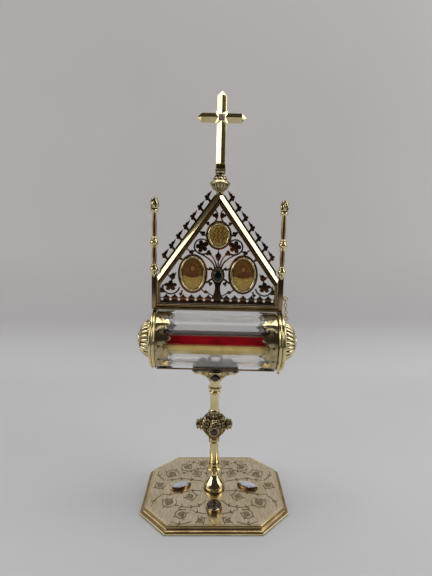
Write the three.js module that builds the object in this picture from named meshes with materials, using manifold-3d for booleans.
// Table reliquary in gilt brass: an eight-sided foot plate and a turned stem with a knop carry a
// glass relic cylinder, and an openwork gable with pinnacles and a cross stands on its end caps.
// Millimetres, +Z up, front towards -Y, origin at the middle of the foot plate's underside.

import * as THREE from 'three';
import { mergeVertices } from 'three/addons/utils/BufferGeometryUtils.js';
import Module from 'manifold-3d';

const wasm = await Module();
wasm.setup();

// ---- driving dimensions ----

const gap = 0.3; // play left between two pieces that touch
const plate = { width: 150, depth: 126, cornerCut: 28.3, height: 6.8 };
const stem = { shaftRadius: 4.75, footRadius: 11.4, cupTop: 36.3, cupFloor: 34, knopBottom: 64, knopTop: 94 };
const knop = { z: 80, radius: 14.2, lobes: 12 };
const knopBoss = { reach: 18.6, radius: 5.2, gemWall: 1.7, gemDepth: 1.3 };
const lean = { angle: THREE.MathUtils.degToRad(1.4), pivotZ: knop.z }; // all above the knop leans
const tube = { z: 172.5, radius: 28.2, wall: 3, halfLength: 63, sides: 24 };
const cap = { radius: 30.8, innerX: 60.4, leftWidth: 5.8, rightWidth: 8, plate: 1.6 };
const dome = { radius: 20.5, height: 14.4, wall: 1.1, flutes: 12 };
const crown = { leaves: 12, length: 15.8, thickness: 0.8 }; // leaves that clasp each glass end
const rod = { radius: 0.9, reach: 30.4, spread: THREE.MathUtils.degToRad(21.5) };
const cradle = { inner: 31.6, thickness: 1.3, halfLength: 24, wrap: 40 };
const relic = { front: -12, back: 11, trayBottom: 160.2, trayTop: 168.7, wall: 1.2, cushionTop: 180.4 };
const sill = { bottom: tube.z + cap.radius + gap, height: 6.2, halfLength: 62, halfDepth: 4 };
const rail = { width: 8.3, slope: 1.3865, outerApex: 323.8, innerApex: 309.6, cutTop: 319.7, depth: 4.4 };
const stile = { inner: 58, outer: 62 };
const sheet = { bottom: sill.bottom + sill.height + gap, thickness: 1.5, stripHeight: 6, border: 1.7 };
const post = { x: 64.7, halfWidth: 2.25, squareTop: 239, top: 316.6 };
const urn = { bottom: rail.cutTop + gap, socketTop: 349.2 };
const cross = { bottom: 349.5, armZ: 392.4, top: 412.8, armReach: 19.4, tip: 4.4, width: 8.8 };
const crossBoss = { halfSide: 5.8, bevel: 2.6, front: 3.9 };
const chain = { x: post.x + post.halfWidth + gap + 2.8, top: 214.6, links: 5, pitch: 3.85 };
const cradleBottom = tube.z - cradle.inner - cradle.thickness;

// ---- materials ----

function metal(name, color, roughness) {
  const material = new THREE.MeshStandardMaterial({ color, roughness, metalness: 1 });
  material.name = name;
  return material;
}

function stone(name, color, roughness = 0.08) {
  const material = new THREE.MeshStandardMaterial({ color, roughness, metalness: 0 });
  material.name = name;
  return material;
}

const giltBrass = metal('gilt_brass', 0xd9c58c, 0.2);
const engravedBrass = metal('engraved_brass', 0xb3a67e, 0.42);
const agedBrass = metal('aged_brass', 0x8a6a42, 0.36);
const garnet = stone('garnet', 0x3b0f1c);
const moonstone = stone('moonstone', 0xc9d0e2);
const greenStone = stone('dark_green_stone', 0x10241c);
const rockCrystal = stone('rock_crystal', 0xe9eef2, 0.03);
const redVelvet = stone('red_velvet', 0x8f0a16, 0.9);
const paintedEnamel = stone('painted_enamel', 0x94592b, 0.3);
const clearGlass = stone('clear_glass', 0xf4f8f8, 0.02);
clearGlass.transparent = true;
clearGlass.opacity = 0.25;

// ---- the scene graph ----

const root = new THREE.Group();
const leaning = new THREE.Group();
const upper = new THREE.Group();
leaning.position.z = lean.pivotZ;
leaning.rotation.y = lean.angle;
upper.position.z = -lean.pivotZ;
leaning.add(upper);
root.add(leaning);

function place(group, name, geometry, material) {
  const mesh = new THREE.Mesh(toGeometry(toSolid(geometry)), material);
  mesh.name = name;
  group.add(mesh);
  return mesh;
}

// ---- solids ----

// Closed solid of a geometry: shared corners merged, slivers dropped, faces pointing out
function toSolid(geometry) {
  const bare = new THREE.BufferGeometry();
  bare.setAttribute('position', geometry.attributes.position);
  bare.setIndex(geometry.index);
  const merged = mergeVertices(bare, 1e-4);
  const points = merged.attributes.position;
  const index = merged.index.array;
  const corners = [];
  const [a, b, c] = [new THREE.Vector3(), new THREE.Vector3(), new THREE.Vector3()];
  let volume = 0;
  for (let i = 0; i < index.length; i += 3) {
    const [p, q, r] = [index[i], index[i + 1], index[i + 2]];
    if (p === q || q === r || r === p) continue;
    corners.push(p, q, r);
    a.fromBufferAttribute(points, p);
    b.fromBufferAttribute(points, q);
    c.fromBufferAttribute(points, r);
    volume += a.dot(b.cross(c));
  }
  if (volume < 0) corners.reverse();
  const vertProperties = Float32Array.from(points.array);
  const triVerts = Uint32Array.from(corners);
  return new wasm.Manifold(new wasm.Mesh({ numProp: 3, vertProperties, triVerts }));
}

function toGeometry(solid) {
  const mesh = solid.getMesh();
  const indexed = new THREE.BufferGeometry();
  indexed.setAttribute('position', new THREE.BufferAttribute(mesh.vertProperties, 3));
  indexed.setIndex(new THREE.BufferAttribute(mesh.triVerts, 1));
  const geometry = indexed.toNonIndexed();
  geometry.computeVertexNormals();
  return geometry;
}

function joined(geometries) {
  return toGeometry(geometries.map(toSolid).reduce((sum, next) => sum.add(next)));
}

function cut(geometry, cutters) {
  return toGeometry(cutters.map(toSolid).reduce((rest, next) => rest.subtract(next), toSolid(geometry)));
}

function common(geometry, other) {
  return toGeometry(toSolid(geometry).intersect(toSolid(other)));
}

// ---- outlines ----

function polygon(points) {
  return points.map(([a, b]) => new THREE.Vector2(a, b));
}

// The outline itself, or its mirror image kept in the same turning sense
function mirrored(outline, side) {
  const points = outline.map((point) => new THREE.Vector2(side * point.x, point.y));
  return side < 0 ? points.reverse() : points;
}

function shifted(outline, x, y) {
  return outline.map((point) => new THREE.Vector2(point.x + x, point.y + y));
}

// Points of a circular arc, angles in degrees
function arc(centreA, centreB, radius, from, to, steps) {
  return Array.from({ length: steps + 1 }, (_, i) => {
    const angle = THREE.MathUtils.degToRad(from + (to - from) * i / steps);
    return [centreA + radius * Math.cos(angle), centreB + radius * Math.sin(angle)];
  });
}

function smooth(points, steps) {
  return new THREE.SplineCurve(polygon(points)).getPoints(steps).map(({ x, y }) => [x, y]);
}

function ellipse(radiusX, radiusY, count) {
  return new THREE.EllipseCurve(0, 0, radiusX, radiusY).getPoints(count).slice(0, count);
}

// Pointed oval between two equal arcs
function navette(halfLength, halfWidth, count) {
  const drop = (halfLength ** 2 - halfWidth ** 2) / (2 * halfWidth);
  const radius = drop + halfWidth;
  return ellipse(halfLength, halfWidth, count).map(({ x, y }) => {
    const rise = Math.sqrt(radius ** 2 - x ** 2) - drop;
    return new THREE.Vector2(x, Math.abs(y) < 1e-6 ? 0 : Math.sign(y) * rise);
  });
}

// Moves every side of a convex outline inwards by the same distance
function inset(outline, distance) {
  const count = outline.length;
  const inward = outline.map((point, i) => {
    const next = outline[(i + 1) % count];
    return new THREE.Vector2(point.y - next.y, next.x - point.x).normalize();
  });
  return outline.map((point, i) => {
    const before = inward[(i + count - 1) % count];
    const after = inward[i];
    const share = distance / (1 + before.dot(after));
    return point.clone().addScaledVector(before, share).addScaledVector(after, share);
  });
}

// Leaf with pointed lobes, as a star of short and long radii
function lobedLeaf(x, z, radius, lobes) {
  const points = ellipse(radius, radius, lobes * 2);
  return shifted(points.map((point, i) => point.multiplyScalar(i % 2 ? 0.6 : 1)), x, z);
}

// Band of even width along a smooth line through the points
function band(points, width, steps) {
  const line = new THREE.SplineCurve(polygon(points));
  const left = [];
  const right = [];
  for (let i = 0; i <= steps; i++) {
    const at = line.getPoint(i / steps);
    const along = line.getTangent(i / steps);
    const side = new THREE.Vector2(-along.y, along.x).multiplyScalar(width / 2);
    left.push(at.clone().add(side));
    right.unshift(at.clone().sub(side));
  }
  return [...left, ...right];
}

function withHoles(outline, holes) {
  const shape = new THREE.Shape(outline);
  shape.holes = holes.map((hole) => new THREE.Path(hole));
  return shape;
}

function hoop(x, z, radius, width, count) {
  const circle = (reach) => shifted(ellipse(reach, reach, count), x, z);
  return withHoles(circle(radius), [circle(radius - width)]);
}

// ---- basic forms ----

// Skins equal outlines stacked along Z, each given as [outline, z], and closes both ends
function loft(layers) {
  const count = layers[0][0].length;
  const positions = layers.flatMap(([outline, z]) => outline.flatMap(({ x, y }) => [x, y, z]));
  const index = [];
  for (let start = 0; start + count < layers.length * count; start += count) {
    for (let i = 0; i < count; i++) {
      const a = start + i;
      const b = start + (i + 1) % count;
      index.push(a, b, b + count, a, b + count, a + count);
    }
  }
  const last = (layers.length - 1) * count;
  for (let i = 1; i + 1 < count; i++) {
    index.push(0, i + 1, i, last, last + i, last + i + 1);
  }
  const geometry = new THREE.BufferGeometry();
  geometry.setAttribute('position', new THREE.Float32BufferAttribute(positions, 3));
  geometry.setIndex(index);
  return geometry;
}

// Turned piece from [radius, z] points that start and end on the axis
function turned(profile, segments) {
  return new THREE.LatheGeometry(polygon(profile), segments).rotateX(Math.PI / 2);
}

// Presses equal flutes into a turned piece between two heights
function flute(geometry, count, depth, low, high) {
  const points = geometry.attributes.position;
  for (let i = 0; i < points.count; i++) {
    const [x, y] = [points.getX(i), points.getY(i)];
    const along = (points.getZ(i) - low) / (high - low);
    const radius = Math.hypot(x, y);
    if (along <= 0 || along >= 1 || radius < 2 * depth) continue;
    const wave = 0.5 - 0.5 * Math.cos(count * Math.atan2(y, x));
    const scale = 1 - depth * Math.sin(Math.PI * along) * wave / radius;
    points.setXY(i, x * scale, y * scale);
  }
  return geometry;
}

function slab(outline, height, z) {
  const shape = outline instanceof THREE.Shape ? outline : new THREE.Shape(outline);
  return new THREE.ExtrudeGeometry(shape, { depth: height, bevelEnabled: false }).translate(0, 0, z);
}

// Outline drawn in X and Z, extruded backwards from y = front
function upright(outline, thickness, front) {
  return slab(outline, thickness, 0).rotateX(Math.PI / 2).translate(0, front + thickness, 0);
}

// Section drawn in Y and Z, extruded along X
function moulding(section, from, to) {
  return slab(section, to - from, from).rotateX(Math.PI / 2).rotateZ(Math.PI / 2);
}

function block([x0, x1], [y0, y1], [z0, z1]) {
  const box = new THREE.BoxGeometry(Math.abs(x1 - x0), y1 - y0, z1 - z0);
  return box.translate((x0 + x1) / 2, (y0 + y1) / 2, (z0 + z1) / 2);
}

// Metal box for a stone: a wall of the outline round a thin floor
function setting(outline, height, wall, floor) {
  const inner = inset(outline, wall);
  return loft([[outline, 0], [outline, height], [inner, height], [inner, floor]]);
}

function cabochon(outline, height) {
  const scaled = (factor) => outline.map((point) => point.clone().multiplyScalar(factor));
  return loft([[outline, 0], [outline, height * 0.3], [scaled(0.78), height * 0.8], [scaled(0.4), height]]);
}

// Turns a piece made upwards from the XY plane so that it faces the front
function facingFront(geometry, x, y, z) {
  return geometry.rotateX(Math.PI / 2).translate(x, y, z);
}

// Turns a piece made round +Z so that +Z points along side * X on the cylinder's axis
function alongCylinder(geometry, side) {
  return geometry.rotateY(side * Math.PI / 2).translate(0, 0, tube.z);
}

// ---- foot plate ----

// Slab edge, fillet, hollow moulding and raised top
function footPlate() {
  const [x, y, c] = [plate.width / 2, plate.depth / 2, plate.cornerCut];
  const outline = polygon([
    [x, c - y], [x, y - c], [x - c, y], [c - x, y],
    [-x, y - c], [-x, c - y], [c - x, -y], [x - c, -y],
  ]);
  const hollow = arc(1.2, plate.height - 0.9, 3, -90, 0, 4);
  const profile = [
    [0.5, 0], [0, 0.5], [0, 2], [0.5, 2.5], [1.2, 2.5],
    ...hollow, [4.2, plate.height - 0.2], [4.5, plate.height],
  ];
  return loft(profile.map(([distance, z]) => [inset(outline, distance), z]));
}

function addFootPlate() {
  place(root, 'foot_plate', footPlate(), engravedBrass);
  const stones = [
    { name: 'left', x: -36.5, y: 0, turn: 22, outline: navette(12, 5.6, 8), height: 4.6, gem: moonstone },
    { name: 'right', x: 36.5, y: 0, turn: -20, outline: navette(12, 5.6, 8), height: 4.6, gem: moonstone },
    { name: 'front', x: 0, y: -34, turn: 90, outline: ellipse(9.2, 8.2, 10), height: 5.6, gem: garnet },
  ];
  const [wall, floor, seat] = [1.2, 0.9, plate.height + gap];
  for (const { name, x, y, turn, outline, height, gem } of stones) {
    const box = setting(outline, height - wall, wall, floor);
    const jewel = cabochon(inset(outline, wall + gap), height - floor - gap);
    const pieces = [
      [place(root, `foot_collet_${name}`, box, giltBrass), seat],
      [place(root, `foot_stone_${name}`, jewel, gem), seat + floor + gap],
    ];
    for (const [mesh, z] of pieces) {
      mesh.position.set(x, y, z);
      mesh.rotation.z = THREE.MathUtils.degToRad(turn);
    }
  }
}

// ---- stem ----

// Bell, neck and ringed cup that the lower shaft stands in
function stemFoot() {
  const seat = plate.height + gap;
  const bore = stem.shaftRadius + gap;
  const bell = smooth([[stem.footRadius, seat], [11.3, 10.5], [8.2, 17], [4.4, 21.6], [3.9, 25.4]], 6);
  const ring = arc(6.3, 30.2, 2, -62, 62, 3);
  const cup = [[5.7, 33.2], [6.6, 35.4], [6.5, stem.cupTop], [bore, stem.cupTop], [bore, stem.cupFloor]];
  return turned([[0, seat], ...bell, ...ring, ...cup, [0, stem.cupFloor]], 12);
}

function shaft(bottom, top) {
  const cylinder = new THREE.CylinderGeometry(stem.shaftRadius, stem.shaftRadius, top - bottom, 12);
  return cylinder.rotateX(Math.PI / 2).translate(0, 0, (bottom + top) / 2);
}

// Lobed body with four round bosses, each hollowed for a garnet
function knopBody() {
  const { radius, lobes, z } = knop;
  const [lower, higher] = [[[5.2, 65.2], [8, 69], [12.6, 74]], [[12.8, 86], [8.4, 90.6], [5.6, 92.2]]];
  const belly = smooth([...lower, [radius, z], ...higher], 6);
  const ends = [[0, stem.knopBottom], [5.2, stem.knopBottom]];
  const profile = [...ends, ...belly, [6.4, stem.knopTop], [0, stem.knopTop]];
  const body = flute(turned(profile, 2 * lobes), lobes, 1.3, 66, 92);
  const { reach, radius: rim, gemWall, gemDepth } = knopBoss;
  const [base, floor, bore] = [radius - 4, reach - gemDepth, rim - gemWall];
  const lip = [[rim, reach - 2], [rim - 1.1, reach], [bore, reach]];
  const bossProfile = [[0, base], [rim, base], ...lip, [bore, floor], [0, floor]];
  const bosses = [0, 1, 2, 3].map((quarter) => {
    return facingFront(turned(bossProfile, 8), 0, 0, z).rotateZ(quarter * Math.PI / 2);
  });
  return joined([body, ...bosses]);
}

function addStem() {
  place(root, 'stem_foot', stemFoot(), giltBrass);
  place(root, 'lower_shaft', shaft(stem.cupFloor + gap, stem.knopBottom - gap), giltBrass);
  place(root, 'knop', knopBody(), agedBrass);
  const { reach, radius, gemWall, gemDepth } = knopBoss;
  const gemRadius = radius - gemWall - gap;
  ['front', 'right', 'back', 'left'].forEach((side, quarter) => {
    const gem = cabochon(ellipse(gemRadius, gemRadius, 6), 1.9);
    facingFront(gem, 0, gemDepth - gap - reach, knop.z).rotateZ(quarter * Math.PI / 2);
    place(root, `knop_garnet_${side}`, gem, garnet);
  });
  const bottom = stem.knopTop + gap;
  const ring = arc(4.8, 116.3, 1.5, -90, 90, 3);
  const profile = [[0, bottom], [stem.shaftRadius, bottom], ...ring, [stem.shaftRadius, 119.7], [0, 119.7]];
  place(upper, 'upper_shaft', turned(profile, 12), giltBrass);
}

// ---- capital and cradle ----

// Flared capital with a pierced bracket on each side and a rosette in front and behind
function capital() {
  const top = cradleBottom - gap;
  const flare = smooth([[5.3, 123.6], [6, 128], [7.4, 133], [9, top]], 3);
  const core = turned([[0, 120], [7.2, 120.2], [7.4, 121.4], [5.4, 122.2], ...flare, [0, top]], 12);
  const under = smooth([[6, 128.5], [9.5, 133.4], [15, 136], [cradle.halfLength, top - 1]], 4);
  const wing = polygon([[3, 128.5], ...under, [cradle.halfLength, top], [3, top]]);
  const eye = shifted(ellipse(3, 0.8, 6), 14.4, 137.7);
  const forms = [core];
  for (const side of [-1, 1]) {
    forms.push(upright(withHoles(mirrored(wing, side), [mirrored(eye, side)]), 6, -3));
    forms.push(new THREE.CylinderGeometry(2.5, 2.5, 18, 8).translate(side * 6.3, 0, 136.7));
    const rosette = turned([[0, 0], [6.2, 0], [6.2, 8.6], [4.6, 9.2], [0, 9.2]], 8);
    forms.push(facingFront(rosette.scale(1, 0.72, 1), 0, 0, 134.2).rotateZ(side < 0 ? 0 : Math.PI));
  }
  return joined(forms);
}

// Saddle sheet under the cylinder, its front and back edges cut to three pierced arches
function cradleSheet() {
  const { inner, halfLength, wrap } = cradle;
  const outer = inner + cradle.thickness;
  const heightAt = (share) => tube.z - outer * Math.cos(THREE.MathUtils.degToRad(wrap * share));
  const curve = (radius, from, to) => arc(0, tube.z, radius, from - 90, to - 90, 6);
  const section = polygon([...curve(outer, -wrap, wrap), ...curve(inner, wrap, -wrap)]);
  const trough = moulding(section, -halfLength, halfLength);
  const arch = (x, top, halfWidth) => ellipse(halfWidth, 2.5, 8).slice(0, 5).reverse()
    .map((point) => [x + point.x, top - 2.5 + point.y]);
  const edge = [[-13.4, 0.84, 5.3], [0, 1, 8], [13.4, 0.84, 5.3]]
    .flatMap(([x, share, halfWidth]) => arch(x, heightAt(share), halfWidth));
  const [low, end] = [cradleBottom - 1, heightAt(0.5)];
  const [left, right] = [-halfLength, halfLength];
  const kept = polygon([[left, low], [left, end], ...edge, [right, end], [right, low]]);
  const piercings = [[0, 0.83, 5.2, 1.3], [-12.8, 0.6, 2.8, 0.5], [12.8, 0.6, 2.8, 0.5]];
  const windows = piercings.map(([x, share, radiusX, radiusZ]) => {
    return upright(shifted(ellipse(radiusX, radiusZ, 6), x, heightAt(share)), 80, -40);
  });
  return cut(common(trough, upright(kept, 80, -40)), windows);
}

function addCapital() {
  place(upper, 'capital', capital(), giltBrass);
  const gem = cabochon(ellipse(3.3, 2.2, 8), 2.4);
  place(upper, 'capital_garnet', facingFront(gem, 0, -9.2 - gap, 134.2), garnet);
  place(upper, 'cradle', cradleSheet(), giltBrass);
  const reach = cap.innerX - gap;
  for (const [name, facing] of [['front', -1], ['back', 1]]) {
    const y = facing * rod.reach * Math.sin(rod.spread);
    const bar = new THREE.CylinderGeometry(rod.radius, rod.radius, 2 * reach, 6).rotateZ(Math.PI / 2);
    bar.translate(0, y, tube.z - rod.reach * Math.cos(rod.spread));
    place(upper, `tie_rod_${name}`, bar, giltBrass);
  }
}

// ---- relic cylinder ----

function glassTube() {
  const { radius, wall, halfLength, sides } = tube;
  const bore = radius - wall;
  const corners = [[bore, -halfLength], [radius, -halfLength], [radius, halfLength], [bore, halfLength]];
  return alongCylinder(turned([...corners, corners[0]], sides), 1);
}

// Sleeve over the glass end with two round mouldings, an end plate and a shelf for the tray
function capRing(side, width) {
  const [bore, glassBore] = [tube.radius + gap, tube.radius - tube.wall];
  const shoulder = tube.halfLength + gap;
  const start = cap.innerX;
  const end = start + width;
  const bead = (width - 0.8) / 4;
  const crest = cap.radius - bead;
  const floor = end - cap.plate;
  const inside = [[0, floor], [glassBore, floor], [glassBore, shoulder], [bore, shoulder], [bore, start]];
  const first = arc(crest, start + 0.4 + bead, bead, -75, 75, 2);
  const second = arc(crest, end - 0.4 - bead, bead, -75, 75, 2);
  const ring = turned([...inside, [crest, start], ...first, ...second, [0, end]], tube.sides);
  const top = relic.trayBottom - gap;
  const shelf = block([side * (start - 1), side * (end - 1)], [-9, 9], [top - 2.2, top]);
  return joined([alongCylinder(ring, side), shelf]);
}

// Fluted half-dome of thin metal with a plain boss at its tip
function capDome(side, base) {
  const { radius, height, wall } = dome;
  const skin = [[radius, 0], [radius - 0.6, 5], [16, 10], [8, 12.9]];
  const outer = [...skin, [7, height - 0.6], [4.6, height], [0, height]];
  const inner = [[0, height - 2 * wall], [15 - wall, 10 - wall], [radius - 2.2 * wall, 0]];
  const shell = turned([...outer, ...inner, outer[0]], 2 * dome.flutes);
  return alongCylinder(flute(shell, dome.flutes, 1.3, 0.2, 12.8).translate(0, 0, base), side);
}

// Band of pointed leaves round the glass, cut out of a sleeve with one flat side for each leaf
function leafCrown(side) {
  const inner = tube.radius + gap;
  const outer = inner + crown.thickness;
  const pitch = 2 * Math.PI / crown.leaves;
  const corner = 1 / Math.cos(pitch / 2);
  const half = outer * corner * Math.sin(pitch / 2);
  const corners = [[inner, 0], [outer, 0], [outer, crown.length], [inner, crown.length]];
  const section = [...corners, corners[0]].map(([radius, z]) => [radius * corner, z]);
  const sleeve = turned(section, crown.leaves);
  const edge = [[0.15 * half, 6], [0.45 * half, 10.8], [0.97 * half, crown.length + 0.5]];
  const notch = polygon([[0, 2.4], ...edge, ...edge.map(([across, along]) => [-across, along]).reverse()]);
  const notches = Array.from({ length: crown.leaves }, (_, i) => {
    return slab(notch, 8, inner - 4).rotateX(Math.PI / 2).rotateZ(i * pitch);
  });
  const wreath = cut(sleeve, notches).scale(1, 1, -1);
  return alongCylinder(wreath.translate(0, 0, cap.innerX - gap), side);
}

function relicTray() {
  const { front, back, trayBottom, trayTop, wall } = relic;
  const half = tube.halfLength - 0.2;
  const hollow = block([-half - 1, half + 1], [front + wall, back - wall], [trayBottom + wall, trayTop + 1]);
  return cut(block([-half, half], [front, back], [trayBottom, trayTop]), [hollow]);
}

// Velvet-covered bar that fills the tray and stands above its rim
function relicCushion() {
  const clear = relic.wall + gap;
  const round = 1.5;
  const half = tube.halfLength - 0.5;
  const [y0, y1] = [relic.front + clear, relic.back - clear];
  const [z0, z1] = [relic.trayBottom + clear, relic.cushionTop];
  const crownLine = [[y1, z1 - round], [y1 - round, z1], [y0 + round, z1], [y0, z1 - round]];
  return moulding(polygon([[y0, z0], [y1, z0], ...crownLine]), -half, half);
}

function addCylinder() {
  place(upper, 'glass_tube', glassTube(), clearGlass);
  place(upper, 'relic_tray', relicTray(), giltBrass);
  place(upper, 'relic_cushion', relicCushion(), redVelvet);
  for (const [name, side, width] of [['left', -1, cap.leftWidth], ['right', 1, cap.rightWidth]]) {
    place(upper, `cap_ring_${name}`, capRing(side, width), giltBrass);
    place(upper, `cap_dome_${name}`, capDome(side, cap.innerX + width + gap), giltBrass);
    place(upper, `leaf_crown_${name}`, leafCrown(side), giltBrass);
  }
  const knob = turned([[0, -4.6], [1.2, -4.4], [1.9, -3.2], [1.2, -2], [0.9, -1.6], [0.9, 0], [0, 0]], 8);
  knob.translate(cap.innerX + cap.rightWidth - 2.2, 0, tube.z - cap.radius - gap);
  place(upper, 'cap_catch_knob', knob, agedBrass);
}

// ---- gable frame ----

function railEdge(apex, x) {
  return apex - rail.slope * Math.abs(x);
}

// Two round mouldings along the front and the back
function gableSill() {
  const { bottom, height, halfLength, halfDepth } = sill;
  const bead = height / 4;
  const face = [1, 3].flatMap((step) => arc(halfDepth, bottom + step * bead, bead, -80, 80, 3));
  const section = polygon([...face, ...face.map(([y, z]) => [-y, z]).reverse()]);
  return moulding(section, -halfLength, halfLength);
}

// Sloping rail of stepped section, mitred at the apex and where it meets the stile
function gableRail(side) {
  const { width, depth, slope } = rail;
  const bead = arc(2.8, depth - 2.3, 2.3, 0, 180, 4);
  const steps = [[7.2, 1.1], [7.2, 2.1], [6.4, 2.1], [6.3, 3], [5.3, 3], [5.1, 1.9]];
  const corners = [[0, 0], [width, 0], [width, 1.1], ...steps, ...bead, [0, 0.8]];
  const section = corners.map(([across, out]) => [-out, -across]);
  const bar = moulding(polygon(section), side > 0 ? -10 : -130, side > 0 ? 130 : 10);
  bar.rotateY(side * Math.atan(slope)).translate(0, -gap / 2, rail.outerApex);
  const outerFoot = railEdge(rail.outerApex, stile.outer);
  const innerFoot = railEdge(rail.innerApex, stile.inner);
  const bounds = polygon([[gap / 2, rail.cutTop], [stile.outer, rail.cutTop], [stile.outer, outerFoot],
    [stile.inner, innerFoot], [gap / 2, innerFoot]]);
  return common(bar, upright(mirrored(bounds, side), 20, -15));
}

// Short upright moulding from the sill to the rail's foot
function gableStile(side) {
  const { inner, outer } = stile;
  const width = outer - inner;
  const face = [[width, 0], [width, 1], ...arc(width - 1.9, 2.2, 1.4, -20, 180, 4), [0, 1.4]];
  const section = [[0, 0], ...face].map(([across, out]) => [inner + across, -out - gap / 2]);
  const tops = [railEdge(rail.outerApex, outer), railEdge(rail.innerApex, inner)].map((z) => z - 1.2 * gap);
  const bounds = polygon([[inner, sheet.bottom], [outer, sheet.bottom], [outer, tops[0]], [inner, tops[1]]]);
  const bar = slab(mirrored(polygon(section), side), 60, sheet.bottom);
  return common(bar, upright(mirrored(bounds, side), 20, -15));
}

function addGableFrame() {
  place(upper, 'gable_sill', gableSill(), giltBrass);
  for (const [name, side] of [['left', -1], ['right', 1]]) {
    place(upper, `gable_rail_${name}`, gableRail(side), giltBrass);
    place(upper, `gable_stile_${name}`, gableStile(side), giltBrass);
  }
}

// ---- tracery: one pierced sheet with crockets on its sloping edges ----

const medallions = [
  { name: 'top', x: 0, z: 280, radiusX: 13.2, radiusZ: 14.7 },
  { name: 'left', x: -25.6, z: 240.7, radiusX: 15.2, radiusZ: 20.2 },
  { name: 'right', x: 25.6, z: 240.7, radiusX: 15.2, radiusZ: 20.2 },
];
const jewel = { z: 239.6, radiusX: 5.5, radiusZ: 7 };

// Apex of the border's outer edge, which shows as a dark line along the rails
const borderApex = rail.outerApex + sheet.border * Math.hypot(1, rail.slope);

// Border behind the rails and stiles, with a broad strip above the sill, cut back at the pinnacles
function border() {
  const [side, apex, stripTop] = [stile.inner + 0.8, rail.innerApex + 1.4, sheet.bottom + sheet.stripHeight];
  const eaves = railEdge(apex, side);
  const window = polygon([[-side, stripTop], [side, stripTop], [side, eaves], [0, apex], [-side, eaves]]);
  const neck = (borderApex - rail.cutTop) / rail.slope;
  const half = [[stile.outer, sheet.bottom], [stile.outer, 237], [60, 239],
    [side, railEdge(borderApex, side)], [neck, rail.cutTop]];
  const edge = polygon([...half, ...half.map(([x, z]) => [-x, z]).reverse()]);
  return withHoles(edge, [window]);
}

// Hooked leaves that climb the outer edges, each drawn along and out from the edge
function crockets() {
  const hook = [[-1.2, 1], [1.4, 1], [2, 4.2], [6.4, 5.4], [10.2, 6.9], [1.6, 9], [-1, 6]];
  const slope = Math.atan(rail.slope);
  const outlines = [];
  for (let i = 0; i < 7; i++) {
    const leaf = polygon(hook.map(([along, out]) => {
      const down = 14.5 + 12 * i - along;
      const x = down * Math.cos(slope) + out * Math.sin(slope);
      return [x, rail.outerApex - down * Math.sin(slope) + out * Math.cos(slope)];
    }));
    outlines.push(mirrored(leaf, -1), leaf);
  }
  return outlines;
}

// The plant that grows from the sill: trunk, seat of the middle stone and spreading stems
function plant() {
  const foot = sheet.bottom + 5;
  const bark = [[6, foot], [3.4, foot + 6.5], [2.6, 226], [3.4, 234]];
  const outlines = [
    polygon([...bark, ...bark.map(([x, z]) => [-x, z]).reverse()]),
    shifted(ellipse(jewel.radiusX + 1.5, jewel.radiusZ + 1.6, 10), 0, jewel.z),
    band([[0, 246], [0, 266]], 1.3, 1),
    polygon([[-2.9, 258.5], [0, 253.8], [2.9, 258.5], [0, 263]]),
  ];
  for (const side of [-1, 1]) {
    outlines.push(
      mirrored(band([[1.2, 246.5], [3.4, 254], [8.6, 262.5]], 1.3, 3), side),
      mirrored(lobedLeaf(10.2, 262.2, 3.1, 3), side),
      mirrored(band([[2.4, 246], [7, 253.6], [13, 258.6], [19.5, 262]], 1.5, 3), side),
      mirrored(band([[4.6, 243.4], [11.8, 246.6]], 2, 1), side),
      mirrored(band([[4.6, 235], [12, 231.6]], 2.2, 1), side),
      mirrored(band([[16.8, 225], [11.6, 221.6], [4.6, 217.4]], 1.4, 2), side),
      mirrored(band([[35, 254], [41.5, 258.4]], 2.4, 1), side),
    );
  }
  return outlines;
}

// Leaf scrolls beside the top medallion and in the lower corners, with their twigs
function scrolls() {
  const outlines = [];
  for (const side of [-1, 1]) {
    outlines.push(
      hoop(side * 16.8, 268.3, 7.4, 1.6, 8),
      hoop(side * 48.4, 227.4, 8.2, 1.6, 9),
      mirrored(lobedLeaf(16.2, 269.4, 4.6, 4), side),
      mirrored(lobedLeaf(48.2, 228.2, 5.2, 4), side),
      mirrored(band([[12.2, 263], [14.4, 266]], 1.6, 1), side),
      mirrored(band([[22.8, 265.4], [27, 264.4], [33.8, 267.4]], 1.8, 2), side),
      mirrored(band([[12.2, 280], [21.4, 284.2]], 2, 1), side),
      mirrored(band([[8.4, 289.4], [13.6, 294]], 1.4, 1), side),
      mirrored(band([[4.4, 292.6], [-6.4, 303.4]], 1.4, 1), side),
      mirrored(band([[43.6, 221.8], [46, 226]], 1.6, 1), side),
      mirrored(band([[33, 224.6], [41.8, 223.8]], 2, 1), side),
      mirrored(band([[54, 223.2], [60, 221.4]], 1.7, 1), side),
      mirrored(band([[45.6, 233.6], [43.2, 241.4]], 2.2, 1), side),
      mirrored(band([[45.4, 235], [50.6, 239.4]], 1.5, 1), side),
    );
  }
  return outlines;
}

function tracery() {
  const seats = medallions.map(({ x, z, radiusX, radiusZ }) => shifted(ellipse(radiusX, radiusZ, 12), x, z));
  const outlines = [border(), ...crockets(), ...seats, ...plant(), ...scrolls()];
  return joined(outlines.map((outline) => upright(outline, sheet.thickness, gap / 2)));
}

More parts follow.
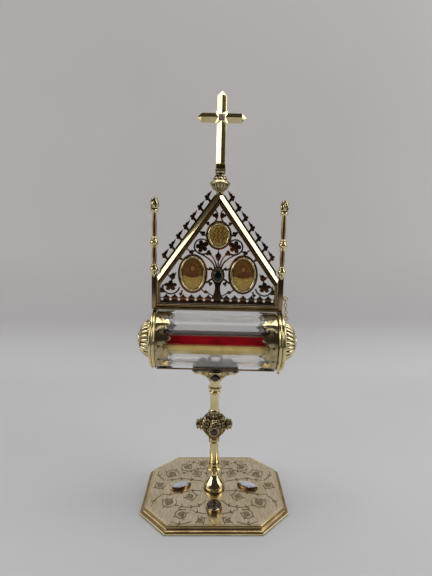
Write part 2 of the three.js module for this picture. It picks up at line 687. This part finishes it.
function addTracery() {
  place(upper, 'tracery', tracery(), agedBrass);
  const [back, wall, floor] = [-gap / 2, 1.8, 0.8];
  for (const { name, x, z, radiusX, radiusZ } of medallions) {
    const outline = ellipse(radiusX - 2, radiusZ - 2, 14);
    const field = inset(outline, wall + gap);
    const plaque = loft([[field, 0], [field, 0.8], [inset(field, 3), 1.3]]);
    place(upper, `medallion_${name}`, facingFront(setting(outline, 3, wall, floor), x, back, z), giltBrass);
    place(upper, `plaque_${name}`, facingFront(plaque, x, back - floor - gap, z), paintedEnamel);
  }
  const rim = ellipse(jewel.radiusX, jewel.radiusZ, 10);
  const gem = cabochon(inset(rim, 0.8 + gap), 3.4);
  place(upper, 'middle_collet', facingFront(setting(rim, 2.2, 0.8, 0.6), 0, back, jewel.z), agedBrass);
  place(upper, 'middle_stone', facingFront(gem, 0, back - 0.6 - gap, jewel.z), greenStone);
}

// ---- pinnacles ----

// Turned post with two ringed balls and a bud on top, its foot left square
function pinnacle() {
  const ball = (z) => [[3.5, z - 5], [3.1, z - 3.8], [4.2, z], [3.1, z + 3.6], [3.5, z + 4.8]];
  const bud = [[4, 303.6], [3.6, 305.6], [4.7, 309.4], [2.9, 314.6], [0, post.top]];
  const profile = [[0, 237], [2.2, 237], ...ball(244.6), [2.2, 250.6], [2.55, 258], [2.2, 265.6],
    ...ball(271.6), [2.2, 277.6], [2.5, 288], [2.1, 299], ...bud];
  const half = post.halfWidth;
  const foot = block([-half, half], [-half, half], [sill.bottom, post.squareTop]);
  return joined([turned(profile, 8), foot]);
}

// ---- finial and cross ----

function urnFinial() {
  const cup = [[3.9, 323.2], [7.6, 325.8], [9.5, 329.6]];
  const cone = [[9, 332.4], [5.6, 337.4], [4.2, 339.8]];
  const lower = [[0, urn.bottom], [4, urn.bottom], [3.6, 321.8], ...cup, [10.3, 329.8], [10.3, 331.2]];
  const body = turned([...lower, ...cone, [4.8, 340.8], [4.4, 342.2], [0, 342.2]], 16);
  const socket = block([-4.8, 4.8], [-3.4, 3.4], [342, urn.socketTop]);
  return joined([flute(body, 8, 1, 323.2, 329.6), socket]);
}

// Bar with a ridge down its front and back and a pyramid at each free end
function crossBar(length, freeEnds) {
  const half = cross.width / 2;
  const section = polygon([[half, -1.2], [half, 1.2], [0, 3.3], [-half, 1.2], [-half, -1.2], [0, -3.3]]);
  const scaled = (factor) => section.map((point) => point.clone().multiplyScalar(factor));
  const start = freeEnds === 2 ? [[scaled(0), -cross.tip], [scaled(0.86), 0]] : [];
  const end = [[scaled(0.86), length], [scaled(0), length + cross.tip]];
  return loft([...start, [section, 0], [section, length], ...end]);
}

function crossBody() {
  const { armReach, armZ, bottom, top } = cross;
  const { halfSide: side, bevel, front } = crossBoss;
  const stemBar = crossBar(top - bottom, 1).translate(0, 0, bottom);
  const arms = crossBar(2 * armReach, 2).rotateY(Math.PI / 2).translate(-armReach, 0, armZ);
  const base = polygon([[side, -side], [side, side], [-side, side], [-side, -side]]);
  const face = inset(base, bevel);
  const boss = loft([[face, -front], [base, -1.6], [base, 1.6], [face, front]]);
  return joined([stemBar, arms, facingFront(boss, 0, 0, armZ)]);
}

function addCrown() {
  for (const [name, side] of [['left', -1], ['right', 1]]) {
    place(upper, `pinnacle_${name}`, pinnacle().translate(side * post.x, 0, 0), giltBrass);
  }
  place(upper, 'urn_finial', urnFinial(), giltBrass);
  place(upper, 'cross', crossBody(), giltBrass);
  const gem = cabochon(ellipse(2.6, 2.6, 8), 1.9);
  place(upper, 'cross_stone', facingFront(gem, 0, -crossBoss.front - gap, cross.armZ), rockCrystal);
}

// ---- keeper chain of the removable right cap ----

function eyelet(x, z) {
  return new THREE.TorusGeometry(2.1, 0.7, 4, 8).rotateX(Math.PI / 2).translate(x, 0, z);
}

// Oval link in the XZ plane: a ring whose halves are drawn apart
function chainLink() {
  const segments = 6;
  const link = new THREE.TorusGeometry(1.3, 0.5, 4, segments).rotateZ(Math.PI / segments);
  const points = link.attributes.position;
  for (let i = 0; i < points.count; i++) {
    points.setY(i, points.getY(i) + Math.sign(points.getY(i)));
  }
  return link.rotateX(Math.PI / 2);
}

function addKeeperChain() {
  const capFace = cap.innerX + cap.rightWidth;
  const capEyeletX = capFace + gap + 2.8;
  const links = Array.from({ length: chain.links }, (_, i) => {
    const x = chain.x + (capEyeletX - chain.x) * i / (chain.links - 1);
    return chainLink().rotateZ(i % 2 ? 0 : Math.PI / 2).translate(x, 0, chain.top - chain.pitch * i);
  });
  const lastLink = chain.top - chain.pitch * (chain.links - 1);
  place(upper, 'post_eyelet', eyelet(chain.x, chain.top + 2.9), giltBrass);
  place(upper, 'keeper_chain', joined(links), giltBrass);
  place(upper, 'cap_eyelet', eyelet(capEyeletX, lastLink - 2.5), giltBrass);
}

addFootPlate();
addStem();
addCapital();
addCylinder();
addGableFrame();
addTracery();
addCrown();
addKeeperChain();

export default root;
